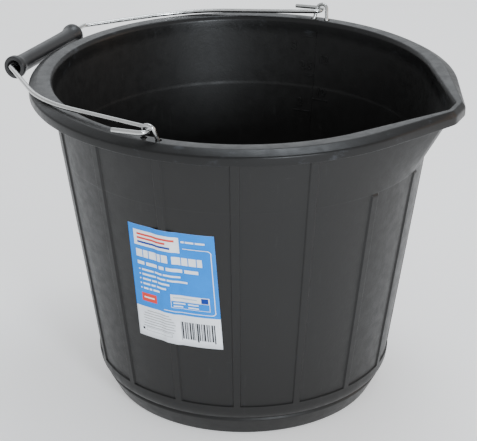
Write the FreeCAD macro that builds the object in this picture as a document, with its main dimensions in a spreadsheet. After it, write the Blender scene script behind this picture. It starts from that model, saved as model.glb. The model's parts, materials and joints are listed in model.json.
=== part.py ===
"""A builder's bucket: moulded tub with a pouring spout, two wire ears, a wire bail and a grip.

Units are millimetres. +Z is up and the origin is on the tub's axis, in the plane of its foot ring.
The spout points along +X. The bail turns about an axis parallel to Y and lies on the -X rim.
"""
import FreeCAD, Part
import math
import os
import types
import PartDesign
import Sketcher

SIZES = {
    # tub, outside
    "bucket_height": 266.0,
    "wall_radius_low": 116.3,  # panel surface carried down to the foot's plane
    "wall_radius_high": 154.6,  # panel surface carried up to the rim's top
    "wall_thickness": 2.8,
    "spout_depth": 58.0,  # from the rim's top to the crease where the spout leaves the wall
    "step_depth": 0.6,  # small ledge inside the wall at the same height
    # foot
    "foot_inset": 7.6,  # from the wall's low radius in to the foot's edge
    "foot_rim": 6.7,
    "foot_recess": 5.0,
    "floor_thickness": 3.0,
    "ledge_outset": 0.9,
    "ledge_height": 16.2,
    "waist_inset": 0.5,
    "waist_height": 18.2,
    "shoulder_height": 29.0,
    "band_top": 31.6,  # panels are recessed above this height
    # ribs
    "rib_count": 16,
    "rib_angle": 3.2,
    "rib_rise": 1.2,
    # rim and spout lip
    "bevel_width": 1.9,
    "bevel_height": 2.8,
    "rim_flat": 10.0,
    "rim_shoulder": 7.2,
    "rim_drop": 3.8,  # fall of the shoulder from the flat to the rim's outer edge
    "skirt_depth": 11.0,
    "skirt_thickness": 2.5,
    "flange_thickness": 3.0,
    "spout_length": 11.3,  # reach of the spout beyond the round rim
    "lip_width": 6.8,  # rim's breadth at the spout's tip
    "lip_crease": 2.8,
    "lip_wall": 3.4,
    "tip_width": 22.0,
    "mouth_tip_width": 18.0,
    # wire ears
    "ear_wire": 3.2,
    "ear_length": 19.5,  # from the folded feet's centreline to the ear's top, along its plane
    "ear_tilt": 20.0,  # the ears lean outwards, as the bail has pulled them
    "ear_lean": 9.0,  # spread of each leg
    "ear_side_gap": 1.0,  # between the bail's wire and the ear's crown
    "ear_fold_inside": 1.0,
    "ear_fold_length": 7.0,
    "leg_hole_clearance": 1.0,
    "clinch_gap": 0.2,
    # bail
    "bail_wire": 3.6,
    "pivot_gap": 1.6,  # between the bail's wire and the ear's top
    "hook_gap": 2.8,
    "tail_length": 21.0,
    "arm_angle": 13.9,
    "knee_offset": 15.5,  # from the rim, where an arm crosses it, out to the knee's corner
    "knee_radius": 127.0,
    "corner_radius": 7.0,
    "rest_gap": 0.75,  # under an arm's line, where it crosses the rim
    # grip
    "grip_length": 96.6,
    "grip_bore_radius": 4.9,
    "grip_wall": 2.2,
    "grip_flare": 2.4,
    "grip_end_length": 4.0,
    "grip_flare_length": 9.0,
    "grip_mouth_flare": 1.1,
    "grip_mouth_depth": 3.0,
    "grip_rim_gap": 2.5,
    "grip_wire_gap": 0.5,  # above the wire, where the loose grip hangs on it
    "grip_play": 8.7,  # straight wire beyond each end of a grip in the middle
    "grip_slide": 6.8,
    # label
    "label_bottom": 86.0,
    "label_height": 102.0,
    "label_turn_back": 13.0,  # from the rib it crosses, towards the grip
    "label_turn_front": 17.0,
    "label_thickness": 0.25,
    "label_gap": 0.05,
    "label_rib_margin": 0.15,
    "label_ridge_side": 0.15,
}


def number_text(item):
    """An item's value and its expression; a plain number is its own expression."""
    if isinstance(item, Size):
        return item.value, item.text
    return float(item), str(item)


class Size:
    """A number together with the expression that gives it, so that sums are written once."""

    def __init__(self, value, text):
        self.value = value
        self.text = text

    def __add__(self, other):
        value, text = number_text(other)
        return Size(self.value + value, f"({self.text} + {text})")

    def __sub__(self, other):
        value, text = number_text(other)
        return Size(self.value - value, f"({self.text} - {text})")

    def __mul__(self, other):
        value, text = number_text(other)
        return Size(self.value * value, f"({self.text} * {text})")

    def __truediv__(self, other):
        value, text = number_text(other)
        return Size(self.value / value, f"({self.text} / {text})")

    def __neg__(self):
        return Size(-self.value, f"(0 - {self.text})")


def cosine(angle):
    return Size(math.cos(math.radians(angle.value)), f"cos({angle.text})")


def sine(angle):
    return Size(math.sin(math.radians(angle.value)), f"sin({angle.text})")


def tangent(angle):
    return Size(math.tan(math.radians(angle.value)), f"tan({angle.text})")


def arc_sine(ratio):
    return Size(math.degrees(math.asin(ratio.value)), f"asin({ratio.text})")


def arc_cosine(ratio):
    return Size(math.degrees(math.acos(ratio.value)), f"acos({ratio.text})")


def arc_tangent(ratio):
    return Size(math.degrees(math.atan(ratio.value)), f"atan({ratio.text})")


def root(square):
    return Size(math.sqrt(square.value), f"sqrt({square.text})")


size = types.SimpleNamespace(**{name: Size(value, f"sizes.{name}") for name, value in SIZES.items()})


def wall_radius(height):
    """Radius of the panel surface at a height."""
    slope = (size.wall_radius_high - size.wall_radius_low) / size.bucket_height
    return size.wall_radius_low + slope * height


SPOUT_START = size.bucket_height - size.spout_depth
BEVEL_FOOT = size.bucket_height - size.bevel_height
MOUTH_RADIUS = wall_radius(BEVEL_FOOT) - size.wall_thickness + size.bevel_width
CREASE_RADIUS = MOUTH_RADIUS + size.rim_flat
RIM_RADIUS = CREASE_RADIUS + size.rim_shoulder
SPOUT_REACH = RIM_RADIUS + size.spout_length
FOOT_RADIUS = size.wall_radius_low - size.foot_inset
WAIST_RADIUS = size.wall_radius_low - size.waist_inset
FLOOR_TOP = size.foot_recess + size.floor_thickness
EAR_RADIUS = MOUTH_RADIUS + size.rim_flat / 2
EAR_CROWN = size.ear_wire / 2 + size.bail_wire / 2 + size.ear_side_gap
EAR_FOLD = size.ear_wire / 2 + size.ear_fold_inside
CROWN_HEIGHT = size.ear_length - size.ear_wire / 2 - EAR_CROWN
FOLD_DEPTH = size.flange_thickness + size.clinch_gap + size.ear_wire / 2
# The ears tilt about their folded feet and cross the rim's top in the middle of its flat.
EAR_FOOT = EAR_RADIUS - FOLD_DEPTH * tangent(size.ear_tilt)
HOLE_RISE = FOLD_DEPTH - size.flange_thickness / 2
HOLE_RADIUS = EAR_FOOT + HOLE_RISE * tangent(size.ear_tilt)
LEG_DROP = CROWN_HEIGHT + EAR_CROWN * sine(size.ear_lean) - HOLE_RISE / cosine(size.ear_tilt)
LEG_OFFSET = EAR_CROWN * cosine(size.ear_lean) + LEG_DROP * tangent(size.ear_lean)
PIVOT_UP = size.ear_length - size.ear_wire - size.pivot_gap - size.bail_wire / 2
PIVOT_RISE = PIVOT_UP * cosine(size.ear_tilt) - FOLD_DEPTH
PIVOT_RADIUS = EAR_FOOT + PIVOT_UP * sine(size.ear_tilt)
HOOK_RADIUS = size.ear_wire / 2 + size.bail_wire / 2 + size.hook_gap
GRIP_RADIUS = size.grip_bore_radius + size.grip_wall
GRIP_END_RADIUS = GRIP_RADIUS + size.grip_flare
GRIP_HANG = size.grip_bore_radius - size.bail_wire / 2 - size.grip_wire_gap
BAIL_REACH = RIM_RADIUS + GRIP_RADIUS + size.grip_rim_gap
STRAIGHT_HALF = size.grip_length / 2 + size.grip_play
# An arm leaves its hook at (-ARM_X, ARM_Y) and crosses the rim ARM_CROSSING further along.
ARM_X = HOOK_RADIUS - HOOK_RADIUS * sine(size.arm_angle)
ARM_Y = PIVOT_RADIUS - HOOK_RADIUS * cosine(size.arm_angle)
ARM_INWARD = ARM_Y * sine(size.arm_angle) - ARM_X * cosine(size.arm_angle)
ARM_SQUARE = CREASE_RADIUS * CREASE_RADIUS - ARM_X * ARM_X - ARM_Y * ARM_Y
ARM_CROSSING = ARM_INWARD + root(ARM_INWARD * ARM_INWARD + ARM_SQUARE)
CROSSING_X = ARM_X + ARM_CROSSING * cosine(size.arm_angle)
KNEE_X = ARM_X + (ARM_CROSSING + size.knee_offset) * cosine(size.arm_angle)
REST_ANGLE = arc_sine((PIVOT_RISE - size.bail_wire / 2 - size.rest_gap) / CROSSING_X)


def make_sheet(doc):
    sheet = doc.addObject("Spreadsheet::Sheet", "sizes")
    for row, (name, value) in enumerate(SIZES.items(), start=1):
        sheet.set(f"A{row}", name)
        sheet.set(f"B{row}", str(value))
        sheet.setAlias(f"B{row}", name)
    doc.recompute()


def origin_feature(body, role):
    return next(item for item in body.Origin.OriginFeatures if item.Role == role)


def new_sketch(body, name, role="XY_Plane", height=None):
    """A sketch on one of the body's origin planes, raised along the plane's normal."""
    sketch = body.newObject("Sketcher::SketchObject", name)
    sketch.AttachmentSupport = [(origin_feature(body, role), "")]
    sketch.MapMode = "FlatFace"
    if height is not None:
        sketch.setExpression("AttachmentOffset.Base.z", height.text)
    return sketch


def dimension(sketch, kind, where, length):
    """A driving constraint that starts at a size's value and is bound to its expression."""
    index = sketch.addConstraint(Sketcher.Constraint(kind, *where, length.value))
    sketch.setExpression(f"Constraints[{index}]", length.text)


def feature(body, kind, name, **properties):
    item = body.newObject(f"PartDesign::{kind}", name)
    for key, value in properties.items():
        setattr(item, key, value)
    return item


def turned(body, kind, name, sketch):
    """A full turn of a sketch about its own vertical axis, added or cut away."""
    return feature(body, kind, name, Profile=sketch, ReferenceAxis=(sketch, ["V_Axis"]), Angle=360.0)


def hold(sketch, kind, index, point, axis, place):
    """Fixes one coordinate of a point; no size keeps it on the axis."""
    if place is None:
        sketch.addConstraint(Sketcher.Constraint("PointOnObject", index, point, axis))
    else:
        dimension(sketch, kind, (-1, 1, index, point), place)


def start_value(place):
    return 0.0 if place is None else place.value


def polygon(sketch, corners):
    """A closed run of lines through (x, y) corners, where None is zero."""
    points = [FreeCAD.Vector(start_value(x), start_value(y), 0) for x, y in corners]
    count = len(points)
    for number in range(count):
        sketch.addGeometry(Part.LineSegment(points[number], points[(number + 1) % count]), False)
    for number, (x, y) in enumerate(corners):
        sketch.addConstraint(Sketcher.Constraint("Coincident", (number - 1) % count, 2, number, 1))
        hold(sketch, "DistanceX", number, 1, -2, x)
        hold(sketch, "DistanceY", number, 1, -1, y)


def circle(sketch, radius, x=None, y=None):
    """A circle about (x, y), where None is zero."""
    centre = FreeCAD.Vector(start_value(x), start_value(y), 0)
    index = sketch.addGeometry(Part.Circle(centre, FreeCAD.Vector(0, 0, 1), radius.value), False)
    dimension(sketch, "Radius", (index,), radius)
    hold(sketch, "DistanceX", index, 3, -2, x)
    hold(sketch, "DistanceY", index, 3, -1, y)


def spout_outline(body, name, height, radius, reach, width):
    """A circle drawn out on +X by two tangent lines to a flat tip."""
    sketch = new_sketch(body, name, height=height)
    half = width.value / 2
    turn = math.atan2(half, reach.value) + math.acos(radius.value / math.hypot(reach.value, half))
    whole = Part.Circle(FreeCAD.Vector(0, 0, 0), FreeCAD.Vector(0, 0, 1), radius.value)
    left = FreeCAD.Vector(radius.value * math.cos(turn), radius.value * math.sin(turn), 0)
    right = FreeCAD.Vector(left.x, -left.y, 0)
    tip_left = FreeCAD.Vector(reach.value, half, 0)
    tip_right = FreeCAD.Vector(reach.value, -half, 0)
    sketch.addGeometry(Part.ArcOfCircle(whole, turn, 2 * math.pi - turn), False)
    sketch.addGeometry(Part.LineSegment(right, tip_right), False)
    sketch.addGeometry(Part.LineSegment(tip_right, tip_left), False)
    sketch.addGeometry(Part.LineSegment(tip_left, left), False)
    sketch.addConstraint(Sketcher.Constraint("Coincident", 0, 3, -1, 1))
    sketch.addConstraint(Sketcher.Constraint("Tangent", 0, 2, 1, 1))
    sketch.addConstraint(Sketcher.Constraint("Coincident", 1, 2, 2, 1))
    sketch.addConstraint(Sketcher.Constraint("Coincident", 2, 2, 3, 1))
    sketch.addConstraint(Sketcher.Constraint("Tangent", 3, 2, 0, 1))
    sketch.addConstraint(Sketcher.Constraint("Symmetric", 1, 2, 2, 2, -1))
    dimension(sketch, "Radius", (0,), radius)
    dimension(sketch, "DistanceX", (-1, 1, 2, 1), reach)
    dimension(sketch, "DistanceY", (2, 1, 2, 2), width)
    return sketch


def split_circle(body, name, height, radius, outline):
    """A circle in four arcs that meet at the same bearings as the corners of a spout outline.

    outline holds the radius, reach and width that are given to spout_outline.
    """
    sketch = new_sketch(body, name, height=height)
    round_part, reach, width = outline
    tip = arc_tangent(width / 2 / reach)
    turn = tip + arc_cosine(round_part / root(reach * reach + width * width / 4))
    tip_angle = math.radians(tip.value)
    turn_angle = math.radians(turn.value)
    whole = Part.Circle(FreeCAD.Vector(0, 0, 0), FreeCAD.Vector(0, 0, 1), radius.value)
    full = 2 * math.pi
    bearings = (turn_angle, full - turn_angle, full - tip_angle, full + tip_angle, full + turn_angle)
    for number in range(4):
        sketch.addGeometry(Part.ArcOfCircle(whole, bearings[number], bearings[number + 1]), False)
        sketch.addConstraint(Sketcher.Constraint("Coincident", number, 3, -1, 1))
    for number in range(3):
        sketch.addConstraint(Sketcher.Constraint("Coincident", number, 2, number + 1, 1))
    sketch.addConstraint(Sketcher.Constraint("Horizontal", 3, 2, 0, 1))
    sketch.addConstraint(Sketcher.Constraint("Vertical", 0, 1, 0, 2))
    sketch.addConstraint(Sketcher.Constraint("Vertical", 2, 1, 2, 2))
    dimension(sketch, "Radius", (0,), radius)
    dimension(sketch, "DistanceY", (0, 2, 0, 1), radius * 2 * sine(turn))
    dimension(sketch, "DistanceY", (2, 1, 2, 2), radius * 2 * sine(tip))
    return sketch


def make_rim(body):
    """The rim: a flat flange with a sloping shoulder and a skirt, hollow underneath."""
    skirt_foot = size.bucket_height - size.skirt_depth
    shoulder = size.bucket_height - size.rim_drop
    inset = size.skirt_thickness
    rim = (RIM_RADIUS, SPOUT_REACH, size.tip_width)
    crease = (CREASE_RADIUS, SPOUT_REACH - size.lip_crease, size.tip_width)
    inside = (RIM_RADIUS - inset, SPOUT_REACH - inset, size.tip_width)
    inside_top = (CREASE_RADIUS - inset, SPOUT_REACH - size.lip_crease - inset, size.tip_width)
    edge = spout_outline(body, "rim_band_outline", skirt_foot, *rim)
    band = feature(body, "Pad", "rim_band", Profile=edge)
    band.setExpression("Length", (size.skirt_depth - size.rim_drop).text)
    low = spout_outline(body, "rim_edge_outline", shoulder, *rim)
    high = spout_outline(body, "rim_crease_outline", size.bucket_height, *crease)
    feature(body, "AdditiveLoft", "rim_shoulder_slope", Profile=low, Sections=[high], Ruled=True)
    hollow = spout_outline(body, "rim_hollow_outline", skirt_foot, *inside)
    cut = feature(body, "Pocket", "rim_hollow", Profile=hollow, Reversed=True)
    cut.setExpression("Length", (size.skirt_depth - size.rim_drop - size.flange_thickness).text)
    side = spout_outline(body, "hollow_side_outline", shoulder - size.flange_thickness, *inside)
    roof_height = size.bucket_height - size.flange_thickness
    roof = spout_outline(body, "hollow_top_outline", roof_height, *inside_top)
    feature(body, "SubtractiveLoft", "rim_hollow_top", Profile=side, Sections=[roof], Ruled=True)


def make_walls(body):
    """The solid form of the walls: turned up to the crease, then drawn out to the spout."""
    outline = (size.wall_radius_high, SPOUT_REACH - size.lip_wall, size.mouth_tip_width)
    low = split_circle(body, "spout_start_circle", SPOUT_START, wall_radius(SPOUT_START), outline)
    high = spout_outline(body, "wall_top_outline", size.bucket_height, *outline)
    feature(body, "AdditiveLoft", "spout_wall", Profile=low, Sections=[high], Ruled=True)
    profile = new_sketch(body, "wall_profile", "XZ_Plane")
    corners = [
        (None, None),
        (FOOT_RADIUS, None),
        (size.wall_radius_low + size.ledge_outset, size.ledge_height),
        (WAIST_RADIUS, size.waist_height),
        (wall_radius(size.shoulder_height) + size.rib_rise, size.shoulder_height),
        (wall_radius(size.band_top) + size.rib_rise, size.band_top),
        (wall_radius(size.band_top), size.band_top),
        (wall_radius(SPOUT_START), SPOUT_START),
        (None, SPOUT_START),
    ]
    polygon(profile, corners)
    turned(body, "Revolution", "wall_turned", profile)


def make_ribs(body):
    """Vertical ribs at an even pitch. The three under the spout stop at its crease."""
    root_depth = size.wall_thickness / 3
    rib_top = size.bucket_height - size.flange_thickness / 2
    pitch = "360 / sizes.rib_count"
    spans = (
        ("rib_low", size.band_top - 1, SPOUT_START, "0", "sizes.rib_count", "360"),
        ("rib_high", SPOUT_START, rib_top, f"2 * {pitch}", "sizes.rib_count - 3", f"360 - 4 * {pitch}"),
    )
    for name, low, high, first, count, spread in spans:
        sketch = new_sketch(body, f"{name}_profile", "XZ_Plane")
        sketch.AttachmentOffset.Rotation.Axis = FreeCAD.Vector(0, 1, 0)
        sketch.setExpression("AttachmentOffset.Rotation.Angle", first)
        corners = [
            (wall_radius(low) - root_depth, low),
            (wall_radius(low) + size.rib_rise, low),
            (wall_radius(high) + size.rib_rise, high),
            (wall_radius(high) - root_depth, high),
        ]
        polygon(sketch, corners)
        rib = feature(body, "Revolution", name, Profile=sketch)
        rib.ReferenceAxis = (sketch, ["V_Axis"])
        rib.Midplane = True
        rib.setExpression("Angle", size.rib_angle.text)
        pattern = feature(body, "PolarPattern", f"{name}_pattern", Originals=[rib])
        pattern.Axis = (origin_feature(body, "Z_Axis"), [""])
        pattern.setExpression("Occurrences", count)
        pattern.setExpression("Angle", spread)
        body.Tip = pattern


def make_hollow(body):
    """The inside: turned up to the crease, drawn out above it, with a bevel round the mouth."""
    wall = size.wall_thickness
    profile = new_sketch(body, "hollow_profile", "XZ_Plane")
    corners = [
        (None, FLOOR_TOP),
        (FOOT_RADIUS - wall / 2, FLOOR_TOP),
        (WAIST_RADIUS - wall, size.waist_height),
        (wall_radius(size.band_top) - wall, size.band_top),
        (wall_radius(SPOUT_START) - wall, SPOUT_START),
        (None, SPOUT_START),
    ]
    polygon(profile, corners)
    turned(body, "Groove", "hollow_turned", profile)
    step_radius = wall_radius(SPOUT_START) - wall + size.step_depth
    mouth = (MOUTH_RADIUS, SPOUT_REACH - size.lip_width, size.mouth_tip_width)
    bevel = size.bevel_width
    bevel_foot = (MOUTH_RADIUS - bevel, SPOUT_REACH - size.lip_width - bevel, size.mouth_tip_width)
    low = split_circle(body, "hollow_start_circle", SPOUT_START, step_radius, bevel_foot)
    middle = spout_outline(body, "hollow_top_edge", BEVEL_FOOT, *bevel_foot)
    feature(body, "SubtractiveLoft", "hollow_spout", Profile=low, Sections=[middle], Ruled=True)
    bevel_low = spout_outline(body, "bevel_low_edge", BEVEL_FOOT, *bevel_foot)
    bevel_high = spout_outline(body, "bevel_high_edge", size.bucket_height, *mouth)
    feature(body, "SubtractiveLoft", "mouth_bevel", Profile=bevel_low, Sections=[bevel_high], Ruled=True)
    recess = new_sketch(body, "foot_recess_circle")
    circle(recess, FOOT_RADIUS - size.foot_rim)
    cut = feature(body, "Pocket", "foot_recess_cut", Profile=recess, Reversed=True)
    cut.setExpression("Length", size.foot_recess.text)


def make_leg_holes(body):
    """Four holes through the flange for the legs of the two ears."""
    sketch = new_sketch(body, "leg_holes", height=size.bucket_height)
    radius = size.ear_wire / 2 + size.leg_hole_clearance
    for x in (LEG_OFFSET, -LEG_OFFSET):
        for y in (HOLE_RADIUS, -HOLE_RADIUS):
            circle(sketch, radius, x, y)
    cut = feature(body, "Pocket", "leg_holes_cut", Profile=sketch)
    cut.setExpression("Length", (size.flange_thickness + size.rim_drop).text)


def make_tub(doc):
    body = doc.addObject("PartDesign::Body", "bucket_tub")
    make_rim(body)
    make_walls(body)
    make_ribs(body)
    make_hollow(body)
    make_leg_holes(body)
    return body


def make_ear(doc, name, foot, tilt_axis):
    """A wire ear: an arch whose two legs pass through the flange and are folded flat under it.

    Half of it is swept in the body's XZ plane, with z = 0 along the folded feet, and then mirrored.
    foot is how far along Y the feet lie, and the ear is tilted outwards about tilt_axis.
    """
    body = doc.addObject("PartDesign::Body", name)
    up = FreeCAD.Vector(0, 0, 1)
    lean = math.radians(size.ear_lean.value)
    crown = EAR_CROWN.value
    fold = EAR_FOLD.value
    crown_height = CROWN_HEIGHT.value
    leg_top = FreeCAD.Vector(crown * math.cos(lean), crown_height + crown * math.sin(lean), 0)
    foot_y = fold * (1 - math.sin(lean))
    leg_foot = FreeCAD.Vector(leg_top.x + (leg_top.y - foot_y) * math.tan(lean), foot_y, 0)
    fold_centre = FreeCAD.Vector(leg_foot.x + fold * math.cos(lean), fold, 0)
    fold_start = FreeCAD.Vector(fold_centre.x, 0, 0)
    fold_end = FreeCAD.Vector(fold_centre.x + size.ear_fold_length.value, 0, 0)
    crown_circle = Part.Circle(FreeCAD.Vector(0, crown_height, 0), up, crown)
    fold_circle = Part.Circle(fold_centre, up, fold)
    path = new_sketch(body, "ear_path", "XZ_Plane")
    path.addGeometry(Part.ArcOfCircle(crown_circle, lean, math.pi / 2), False)
    path.addGeometry(Part.LineSegment(leg_top, leg_foot), False)
    path.addGeometry(Part.ArcOfCircle(fold_circle, math.pi + lean, 1.5 * math.pi), False)
    path.addGeometry(Part.LineSegment(fold_start, fold_end), False)
    for first, first_end, second, second_end in ((0, 1, 1, 1), (1, 2, 2, 1), (2, 2, 3, 1)):
        path.addConstraint(Sketcher.Constraint("Tangent", first, first_end, second, second_end))
    path.addConstraint(Sketcher.Constraint("PointOnObject", 0, 3, -2))
    path.addConstraint(Sketcher.Constraint("PointOnObject", 0, 2, -2))
    path.addConstraint(Sketcher.Constraint("PointOnObject", 3, 1, -1))
    path.addConstraint(Sketcher.Constraint("Horizontal", 3))
    dimension(path, "Radius", (0,), EAR_CROWN)
    dimension(path, "Radius", (2,), EAR_FOLD)
    dimension(path, "DistanceY", (-1, 1, 0, 3), CROWN_HEIGHT)
    dimension(path, "DistanceX", (3, 1, 3, 2), size.ear_fold_length)
    leg_angle = Size(lean - math.pi / 2, f"({size.ear_lean.text} - 90) * 1 deg")
    dimension(path, "Angle", (1,), leg_angle)
    section = new_sketch(body, "ear_section", "YZ_Plane")
    circle(section, size.ear_wire / 2, None, CROWN_HEIGHT + EAR_CROWN)
    half = feature(body, "AdditivePipe", "ear_half", Profile=section, Spine=(path, [""]))
    whole = feature(body, "Mirrored", "ear_whole", Originals=[half])
    whole.MirrorPlane = (origin_feature(body, "YZ_Plane"), [""])
    body.Tip = whole
    body.Placement.Rotation = FreeCAD.Rotation(tilt_axis, 1)
    body.setExpression("Placement.Rotation.Angle", size.ear_tilt.text)
    body.setExpression("Placement.Base.y", foot.text)
    body.setExpression("Placement.Base.z", (size.bucket_height - FOLD_DEPTH).text)
    return body


def make_bail(doc):
    """The bail: one bent wire, drawn flat and laid down at its rest angle.

    Half of it is swept in the body's XY plane, with the pivot axis along Y, and then mirrored:
    the straight stretch for the grip, a corner, a slope, a wide knee, an arm, a hook and its tail.
    """
    body = doc.addObject("PartDesign::Body", "bail_wire")
    up = FreeCAD.Vector(0, 0, 1)
    arm = math.radians(size.arm_angle.value)
    corner = size.corner_radius.value
    knee = size.knee_radius.value
    hook = HOOK_RADIUS.value
    right_angle = math.pi / 2

    def along(angle):
        return FreeCAD.Vector(math.cos(angle), math.sin(angle), 0)

    straight_start = FreeCAD.Vector(-BAIL_REACH.value, 0, 0)
    straight_end = FreeCAD.Vector(-BAIL_REACH.value, STRAIGHT_HALF.value, 0)
    corner_centre = straight_end + FreeCAD.Vector(corner, 0, 0)
    hook_centre = FreeCAD.Vector(-hook, PIVOT_RADIUS.value, 0)
    arm_end = hook_centre + along(arm - right_angle) * hook
    # The slope and the arm meet at the knee's corner, and the knee's arc is tangent to both.
    knee_corner = arm_end - along(arm) * (ARM_CROSSING + size.knee_offset).value
    reach = knee_corner - corner_centre
    slope = math.atan2(reach.y, reach.x) - math.asin(corner / reach.Length)
    slope_start = corner_centre + along(slope + right_angle) * corner
    knee_run = knee * math.tan((slope - arm) / 2)
    slope_end = knee_corner - along(slope) * knee_run
    arm_start = knee_corner + along(arm) * knee_run
    knee_centre = slope_end - along(slope + right_angle) * knee
    tail_start = hook_centre + FreeCAD.Vector(0, hook, 0)
    tail_end = tail_start - FreeCAD.Vector(size.tail_length.value, 0, 0)
    corner_circle = Part.Circle(corner_centre, up, corner)
    knee_circle = Part.Circle(knee_centre, up, knee)
    hook_circle = Part.Circle(hook_centre, up, hook)
    path = new_sketch(body, "bail_path")
    path.addGeometry(Part.LineSegment(straight_start, straight_end), False)
    path.addGeometry(Part.ArcOfCircle(corner_circle, slope + right_angle, math.pi), False)
    path.addGeometry(Part.LineSegment(slope_start, slope_end), False)
    path.addGeometry(Part.ArcOfCircle(knee_circle, arm + right_angle, slope + right_angle), False)
    path.addGeometry(Part.LineSegment(arm_start, arm_end), False)
    path.addGeometry(Part.ArcOfCircle(hook_circle, arm - right_angle, right_angle), False)
    path.addGeometry(Part.LineSegment(tail_start, tail_end), False)
    path.addGeometry(Part.Point(knee_corner), True)
    for line in (2, 4):
        path.addConstraint(Sketcher.Constraint("PointOnObject", 7, 1, line))
    joins = ((0, 2, 1, 2), (1, 1, 2, 1), (2, 2, 3, 2), (3, 1, 4, 1), (4, 2, 5, 1), (5, 2, 6, 1))
    for first, first_end, second, second_end in joins:
        path.addConstraint(Sketcher.Constraint("Tangent", first, first_end, second, second_end))
    path.addConstraint(Sketcher.Constraint("PointOnObject", 0, 1, -1))
    path.addConstraint(Sketcher.Constraint("Vertical", 0))
    path.addConstraint(Sketcher.Constraint("Horizontal", 6))
    dimension(path, "DistanceX", (0, 1, -1, 1), BAIL_REACH)
    dimension(path, "DistanceY", (0, 1, 0, 2), STRAIGHT_HALF)
    dimension(path, "Radius", (1,), size.corner_radius)
    dimension(path, "Radius", (3,), size.knee_radius)
    dimension(path, "Radius", (5,), HOOK_RADIUS)
    dimension(path, "DistanceX", (5, 3, -1, 1), HOOK_RADIUS)
    dimension(path, "DistanceY", (-1, 1, 5, 3), PIVOT_RADIUS)
    dimension(path, "DistanceX", (6, 2, 6, 1), size.tail_length)
    dimension(path, "DistanceX", (7, 1, -1, 1), KNEE_X)
    dimension(path, "Angle", (4,), Size(arm, f"{size.arm_angle.text} * 1 deg"))
    section = new_sketch(body, "bail_section", "XZ_Plane")
    circle(section, size.bail_wire / 2, -BAIL_REACH, None)
    half = feature(body, "AdditivePipe", "bail_half", Profile=section, Spine=(path, [""]))
    whole = feature(body, "Mirrored", "bail_whole", Originals=[half])
    whole.MirrorPlane = (origin_feature(body, "XZ_Plane"), [""])
    body.Tip = whole
    body.Placement.Rotation = FreeCAD.Rotation(FreeCAD.Vector(0, -1, 0), 1)
    body.setExpression("Placement.Rotation.Angle", REST_ANGLE.text)
    body.setExpression("Placement.Base.z", (size.bucket_height + PIVOT_RISE).text)
    return body


def make_grip(doc):
    """The grip: a hollow turned sleeve with flared ends, hanging loose on the bail's straight."""
    body = doc.addObject("PartDesign::Body", "carry_grip")
    half = size.grip_length / 2
    flare_end = half - size.grip_end_length
    upper = [
        (GRIP_RADIUS, flare_end - size.grip_flare_length),
        (GRIP_END_RADIUS, flare_end),
        (GRIP_END_RADIUS, half),
        (size.grip_bore_radius + size.grip_mouth_flare, half),
        (size.grip_bore_radius, half - size.grip_mouth_depth),
    ]
    lower = [(x, -y) for x, y in reversed(upper)]
    profile = new_sketch(body, "grip_profile")
    polygon(profile, upper + lower)
    turned(body, "Revolution", "grip_turned", profile)
    fall = BAIL_REACH * sine(REST_ANGLE) + GRIP_HANG * cosine(REST_ANGLE)
    back = BAIL_REACH * cosine(REST_ANGLE) - GRIP_HANG * sine(REST_ANGLE)
    body.setExpression("Placement.Base.x", (-back).text)
    body.setExpression("Placement.Base.y", (-size.grip_slide).text)
    body.setExpression("Placement.Base.z", (size.bucket_height + PIVOT_RISE - fall).text)
    return body


def label_patch(body, kind, name, inner, outer):
    """A strip of the cone between two offsets from the panel surface, turned about the axis."""
    low = size.label_bottom
    high = size.label_bottom + size.label_height
    sketch = new_sketch(body, f"{name}_profile", "XZ_Plane")
    corners = [
        (wall_radius(low) + inner, low),
        (wall_radius(low) + outer, low),
        (wall_radius(high) + outer, high),
        (wall_radius(high) + inner, high),
    ]
    polygon(sketch, corners)
    patch = feature(body, kind, name, Profile=sketch)
    patch.ReferenceAxis = (sketch, ["V_Axis"])
    return patch


def make_label(doc):
    """The label: a thin sheet stuck to two panels and folded over the rib between them."""
    body = doc.addObject("PartDesign::Body", "product_label")
    gap = size.label_gap
    skin = gap + size.label_thickness
    panels = label_patch(body, "Revolution", "label_panels", gap, skin)
    panels.Type = "TwoAngles"
    panels.setExpression("Angle", size.label_turn_front.text)
    panels.setExpression("Angle2", size.label_turn_back.text)
    rib_room_angle = size.rib_angle + size.label_rib_margin * 2
    ridge = label_patch(body, "Revolution", "label_ridge", gap, size.rib_rise + skin)
    ridge.Midplane = True
    ridge.setExpression("Angle", (rib_room_angle + size.label_ridge_side * 2).text)
    rib_room = label_patch(body, "Groove", "label_rib_room", -gap, size.rib_rise + gap)
    rib_room.Midplane = True
    rib_room.setExpression("Angle", rib_room_angle.text)
    # The rib nearest to the tub's -Y side carries the label.
    body.Placement.Rotation = FreeCAD.Rotation(FreeCAD.Vector(0, 0, -1), 1)
    body.setExpression("Placement.Rotation.Angle", "round(sizes.rib_count / 4) * 360 / sizes.rib_count")
    return body


def main():
    doc = FreeCAD.newDocument("builders_bucket")
    make_sheet(doc)
    parts = [
        make_tub(doc),
        make_ear(doc, "left_ear_staple", EAR_FOOT, FreeCAD.Vector(-1, 0, 0)),
        make_ear(doc, "right_ear_staple", -EAR_FOOT, FreeCAD.Vector(1, 0, 0)),
        make_bail(doc),
        make_grip(doc),
        make_label(doc),
    ]
    doc.recompute()
    for item in doc.Objects:
        if "Invalid" in item.State or "Error" in item.State:
            raise RuntimeError(f"{item.Name} failed: {item.State}")
    for body in parts:
        if body.Shape.isNull() or not body.Shape.isValid():
            raise RuntimeError(f"{body.Label} has no valid shape")
    os.makedirs("parts", exist_ok=True)
    for body in parts:
        shape = body.Shape
        print(body.Label, len(shape.Solids), "solid", round(shape.Volume), "mm3", shape.BoundBox)
        shape.exportStep(f"parts/{body.Label}.step")


main()
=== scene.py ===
"""Looks of a builder's bucket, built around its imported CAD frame. Units are metres.

+Z is up, the spout points along +X, and the bail lies on the -X rim at rest.
"""

import json
import math

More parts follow.
